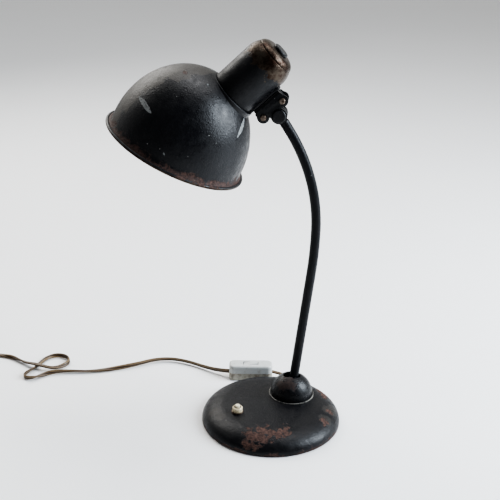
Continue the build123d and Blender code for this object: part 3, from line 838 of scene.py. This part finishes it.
enamels = {
    "housingEnamel": {"steelSpots": [(-8, 0, 394, 8), (-16, 0, 404, 7)], "dust": 0.5,
                      "scratches": [((-52.5, 10, 396.5), (-49.5, 12, 397.5), 2.4)]},
    "capEnamel": {"rustSpots": [(-30, 24, 420, 9)], "dust": 0.6},
    "plainEnamel": {"dust": 0.8},
    "armEnamel": {"dust": 0.6, "shine": 0.25},
    "domeEnamel": {"rustSpots": [(17.5, 11.5, 41.0, 7.5), (24, 8, 39, 5), (9, 12, 38, 6)],
                   "dust": 1.0, "gloss": 0.06, "rustAmount": 0.35},
    "castIron": {"dust": 1.0},
}

metals = {
    "screwSteel": {"colour": (0.20, 0.165, 0.14), "tarnish": (0.07, 0.035, 0.022),
                   "roughness": 0.42, "grain": 0.003, "amount": 0.85},
    "plainSteel": {"colour": (0.5, 0.49, 0.47), "tarnish": (0.25, 0.2, 0.16)},
    "oldBrass": {"colour": (0.55, 0.42, 0.2), "tarnish": (0.25, 0.17, 0.08)},
}

plastics = {
    "feltCloth": {"colour": (0.03, 0.055, 0.035), "grimeAndShade": (0.05, 0.07, 0.05),
                  "roughness": 0.95, "grain": 0.002, "amount": 0.8, "level": 0.1},
    "creamKnob": {"colour": (0.72, 0.66, 0.50), "grimeAndShade": (0.50, 0.42, 0.28), "grain": 0.002, "amount": 0.4},
    "switchWhite": {"colour": (0.54, 0.55, 0.535), "grimeAndShade": (0.33, 0.30, 0.26), "amount": 0.6},
    "switchLowerCream": {"colour": (0.40, 0.38, 0.32), "grimeAndShade": (0.16, 0.13, 0.10),
                         "roughness": 0.38, "grain": 0.005, "amount": 0.8, "low": 0.40, "high": 0.70},
    "darkBakelite": {"colour": (0.03, 0.017, 0.012), "grimeAndShade": (0.05, 0.03, 0.02), "roughness": 0.35},
    "blackRubber": {"colour": (0.02, 0.02, 0.02), "grimeAndShade": (0.05, 0.05, 0.05), "roughness": 0.7},
    "porcelainWhite": {"colour": (0.78, 0.77, 0.73), "grimeAndShade": (0.6, 0.55, 0.45), "roughness": 0.18},
}


def makeFinishes():
    axis = neckTurn().to_3x3() @ Vector((0, 0, 1))
    made = {"seatEnamel": seatMaterial(), "creamCollar": collarMaterial(), "bulbFrosted": bulbMaterial()}
    for name, values in enamels.items():
        band = None
        if name in headWear:
            along, *reach = headWear[name]
            band = (Vector(shade["neck"]) * mm + axis * along, axis, *reach)
        made[name] = enamelMaterial(name, steelBand=band, **values)
    for name, values in metals.items():
        made[name] = metalMaterial(name, **values)
    for name, values in plastics.items():
        made[name] = plasticMaterial(name, **values)
    print("made", len(made), "finishes")
    return made


pieceFinishes = {      # finish, and how much its edges are eased in millimetres
    "socket_housing": ("housingEnamel", 0.2), "housing_cap": ("capEnamel", 0.2),
    "cap_knob": ("plainEnamel", 0), "neck_ring": ("housingEnamel", 0), "joint_dome": ("domeEnamel", 0.3),
    "dome_seat": ("seatEnamel", 0.3), "pivot_yoke": ("plainEnamel", 0.2), "arm_tube": ("armEnamel", 0),
    "arm_hub": ("armEnamel", 0), "knuckle_ball": ("plainEnamel", 0), "cheek_front": ("plainEnamel", 0.35),
    "cheek_rear": ("plainEnamel", 0.35), "head_bracket": ("plainEnamel", 0.35),
    "clamp_screws": ("screwSteel", 0.15), "clamp_nuts": ("screwSteel", 0.25),
    "bracket_rivets": ("screwSteel", 0.2), "base_plate": ("plainSteel", 0),
    "base_screws": ("plainSteel", 0.15), "pivot_pin": ("plainSteel", 0.2),
    "swivel_spring_washer": ("plainSteel", 0), "swivel_nut": ("plainSteel", 0.2),
    "switch_nut": ("plainSteel", 0.2), "holder_rod": ("plainSteel", 0),
    "holder_support_ring": ("plainSteel", 0), "shade_ring": ("plainSteel", 0.2),
    "inline_switch_screws": ("plainSteel", 0), "plug_screw": ("plainSteel", 0),
    "base_weight": ("castIron", 0), "base_felt": ("feltCloth", 0), "swivel_bush": ("oldBrass", 0),
    "switch_foot_ring": ("screwSteel", 0), "holder_thread_sleeve": ("oldBrass", 0),
    "holder_contact": ("oldBrass", 0), "bulb_cap": ("oldBrass", 0), "plug_pins": ("oldBrass", 0.3),
    "switch_collar": ("creamCollar", 0.25), "push_button": ("creamKnob", 0),
    "inline_switch_lower": ("switchLowerCream", 0), "inline_switch_upper": ("switchWhite", 0),
    "inline_rocker": ("switchWhite", 0.3), "plug_body": ("switchWhite", 0),
    "switch_body": ("darkBakelite", 0.3), "cord_gland": ("blackRubber", 0.3),
    "cord_tie": ("blackRubber", 0.2), "lamp_holder": ("porcelainWhite", 0.3),
    "bulb_glass": ("bulbFrosted", 0),
}


def finishNodes():
    made = makeFinishes()
    bodyOf = {n: b for b, names in frame["record"]["behaviour"]["bodies"].items() for n in names}
    for node, (finish, edge) in pieceFinishes.items():
        refined(node, made[finish], bodyOf[node], edge)
    print("finished", len(pieceFinishes), "CAD pieces")


floor = {
    "radius": 7.0,      # metres
    "drop": 0.0001,
    "tones": ((0.88, 0.88, 0.88), (0.92, 0.92, 0.92)),
    "cloud": 0.4,
    "roughness": 0.5,
}


def makeFloor():
    work = bmesh.new()
    bmesh.ops.create_circle(work, cap_ends=True, segments=128, radius=floor["radius"])
    mesh = bpy.data.meshes.new("floor")
    work.to_mesh(mesh)
    work.free()
    sheet = bpy.data.objects.new("floor", mesh)
    bpy.context.scene.collection.objects.link(sheet)
    sheet.location.z = -floor["drop"]
    material, tree, shader = newMaterial("paleFloor", Roughness=floor["roughness"])
    tone = mixColour(tree, noiseOf(tree, floor["cloud"], 3.0), *floor["tones"])
    wire(tree, tone, shader.inputs["Base Color"])
    mesh.materials.append(material)
    print("floor laid")


makeCamera()
makeLights()
finishNodes()
makeCords()
makeBaseCover()
makeShade()
makeFloor()
print("all pieces made")
